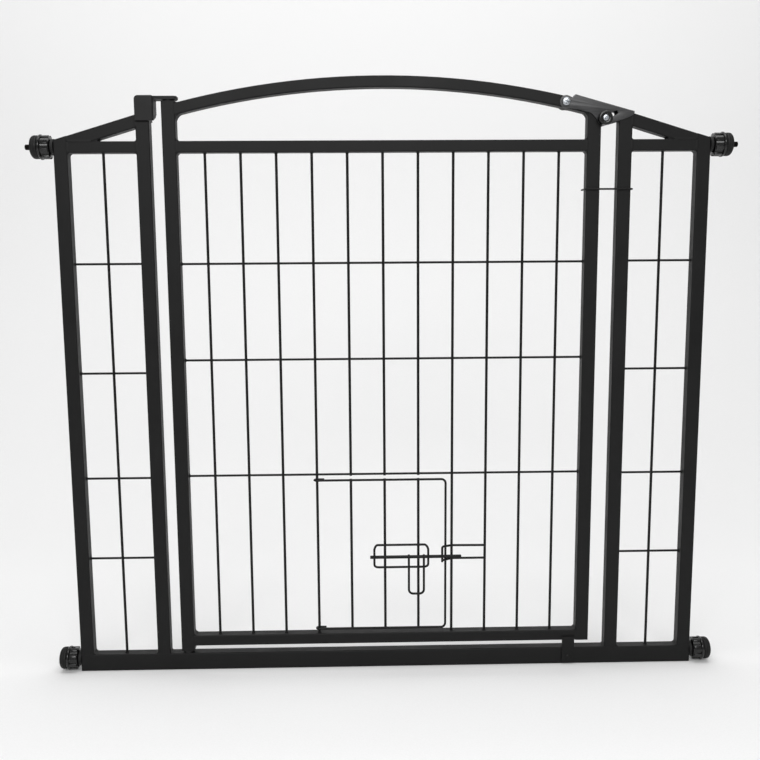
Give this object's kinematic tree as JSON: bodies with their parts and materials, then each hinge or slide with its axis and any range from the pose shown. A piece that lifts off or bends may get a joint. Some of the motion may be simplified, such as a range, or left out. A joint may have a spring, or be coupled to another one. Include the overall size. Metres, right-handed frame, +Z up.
{
  "type": "pet gate",
  "caption": "Arched pressure-mounted walk-through pet gate of black steel tube and wire, with a lift-lever latch, threaded wall feet and a small wire pet door with a slide bolt.",
  "frame": {"origin": "underside of the threshold, midway between the outer posts, at mid-depth of the tubes", "axes": "+X along the gate towards the latch side, -Y towards the front (knob side), +Z up"},
  "size_m": [0.938, 0.0361, 0.8127],
  "materials": {
    "powder_coat": "satin black powder coat on steel tube",
    "coated_wire": "black coated steel wire, semi-gloss",
    "coated_sheet": "charcoal coated pressed sheet, satin",
    "moulded_plastic": "moulded, fine matt texture",
    "gloss_plastic": "moulded, glossy",
    "bumper_rubber": "moulded rubber, semi-matt",
    "blackened_steel": "black oxide on turned and threaded steel, oiled",
    "zinc_steel": "bright zinc plate"
  },
  "bodies": {
    "gate_frame": {"threshold_rail": "powder_coat", "left_outer_post": "powder_coat", "left_inner_post": "powder_coat", "left_top_rail": "powder_coat", "left_shoulder_rail": "powder_coat", "left_upright_wire": "coated_wire", "left_cross_wires": "coated_wire", "right_outer_post": "powder_coat", "right_inner_post": "powder_coat", "right_top_rail": "powder_coat", "right_shoulder_rail": "powder_coat", "right_upright_wire": "coated_wire", "right_cross_wires": "coated_wire", "threshold_catch": "powder_coat", "catch_rivet": "powder_coat", "hinge_cap": "moulded_plastic", "upper_hinge_pin": "zinc_steel", "upper_hinge_washer": "moulded_plastic", "lower_hinge_pin": "zinc_steel", "lower_hinge_spacer": "moulded_plastic", "upper_left_collar": "moulded_plastic", "upper_right_collar": "moulded_plastic", "lower_left_collar": "moulded_plastic", "lower_right_collar": "moulded_plastic"},
    "door": {"door_hinge_stile": "powder_coat", "door_latch_stile": "powder_coat", "door_arch_rail": "powder_coat", "door_top_rail": "powder_coat", "door_bottom_rail": "powder_coat", "door_upright_wires": "coated_wire", "door_cross_wires": "coated_wire", "upper_hinge_bush": "moulded_plastic", "lower_hinge_bush": "moulded_plastic", "latch_pivot_bolt": "zinc_steel", "latch_pivot_nut": "zinc_steel", "pet_door_keeper": "coated_wire"},
    "latch_lever": {"latch_lever": "coated_sheet"},
    "lock_slider": {"lock_pin": "zinc_steel", "lock_knob": "gloss_plastic", "lock_pin_nut": "zinc_steel"},
    "pet_door": {"pet_door_frame": "coated_wire", "pet_door_uprights": "coated_wire", "bolt_guide_loop": "coated_wire"},
    "pet_bolt": {"pet_bolt_rod": "coated_wire"},
    "bolt_handle": {"pet_bolt_handle": "coated_wire"},
    "retaining_clip": {"retaining_clip": "coated_wire"},
    "upper_left_wheel": {"upper_left_hand_wheel": "gloss_plastic"},
    "upper_left_foot": {"upper_left_spindle": "blackened_steel", "upper_left_wall_bumper": "bumper_rubber"},
    "upper_right_wheel": {"upper_right_hand_wheel": "gloss_plastic"},
    "upper_right_foot": {"upper_right_spindle": "blackened_steel", "upper_right_wall_bumper": "bumper_rubber"},
    "lower_left_wheel": {"lower_left_hand_wheel": "gloss_plastic"},
    "lower_left_foot": {"lower_left_spindle": "blackened_steel", "lower_left_wall_bumper": "bumper_rubber"},
    "lower_right_wheel": {"lower_right_hand_wheel": "gloss_plastic"},
    "lower_right_foot": {"lower_right_spindle": "blackened_steel", "lower_right_wall_bumper": "bumper_rubber"}
  },
  "joints": [
    {"name": "door_hinge", "type": "hinge", "parent": "gate_frame", "child": "door", "pos_m": [-0.282, 0, 0.4], "axis": [0, 0, 1], "range_deg": [0, 90]},
    {"name": "lever_lift", "type": "hinge", "parent": "door", "child": "latch_lever", "pos_m": [0.2388, 0, 0.77846], "axis": [0, -1, 0], "range_deg": [0, 35]},
    {"name": "lock_knob_slide", "type": "slide", "parent": "latch_lever", "child": "lock_slider", "axis": [0.8949, 0, 0.4462], "range_m": [0, 0.017]},
    {"name": "pet_door_hinge", "type": "hinge", "parent": "door", "child": "pet_door", "pos_m": [-0.09625, 0, 0.1612], "axis": [0, 0, 1], "range_deg": [0, 110]},
    {"name": "pet_bolt_slide", "type": "slide", "parent": "pet_door", "child": "pet_bolt", "axis": [-1, 0, 0], "range_m": [0, 0.03]},
    {"name": "bolt_handle_turn", "type": "hinge", "parent": "pet_bolt", "child": "bolt_handle", "pos_m": [0.041, -0.0071, 0.1612], "axis": [-1, 0, 0], "range_deg": [0, 170]},
    {"name": "clip_pull", "type": "slide", "parent": "gate_frame", "child": "retaining_clip", "axis": [0, -1, 0], "range_m": [0, 0.04]},
    {"name": "upper_left_wheel_turn", "type": "hinge", "parent": "gate_frame", "child": "upper_left_wheel", "pos_m": [-0.4454, 0, 0.724], "axis": [-1, 0, 0], "range_deg": [0, 3600]},
    {"name": "upper_left_foot_reach", "type": "slide", "parent": "gate_frame", "child": "upper_left_foot", "axis": [-1, 0, 0], "range_m": [0, 0.02]},
    {"name": "upper_right_wheel_turn", "type": "hinge", "parent": "gate_frame", "child": "upper_right_wheel", "pos_m": [0.4454, 0, 0.724], "axis": [1, 0, 0], "range_deg": [0, 3600]},
    {"name": "upper_right_foot_reach", "type": "slide", "parent": "gate_frame", "child": "upper_right_foot", "axis": [1, 0, 0], "range_m": [0, 0.02]},
    {"name": "lower_left_wheel_turn", "type": "hinge", "parent": "gate_frame", "child": "lower_left_wheel", "pos_m": [-0.4454, 0, 0.017], "axis": [-1, 0, 0], "range_deg": [0, 3600]},
    {"name": "lower_left_foot_reach", "type": "slide", "parent": "gate_frame", "child": "lower_left_foot", "axis": [-1, 0, 0], "range_m": [0, 0.02]},
    {"name": "lower_right_wheel_turn", "type": "hinge", "parent": "gate_frame", "child": "lower_right_wheel", "pos_m": [0.4454, 0, 0.017], "axis": [1, 0, 0], "range_deg": [0, 3600]},
    {"name": "lower_right_foot_reach", "type": "slide", "parent": "gate_frame", "child": "lower_right_foot", "axis": [1, 0, 0], "range_m": [0, 0.02]}
  ],
  "couplings": [
    {"joint": "upper_left_wheel_turn", "follows": "upper_left_foot_reach", "rad_per_m": 3141.6},
    {"joint": "upper_right_wheel_turn", "follows": "upper_right_foot_reach", "rad_per_m": 3141.6},
    {"joint": "lower_left_wheel_turn", "follows": "lower_left_foot_reach", "rad_per_m": 3141.6},
    {"joint": "lower_right_wheel_turn", "follows": "lower_right_foot_reach", "rad_per_m": 3141.6}
  ]
}
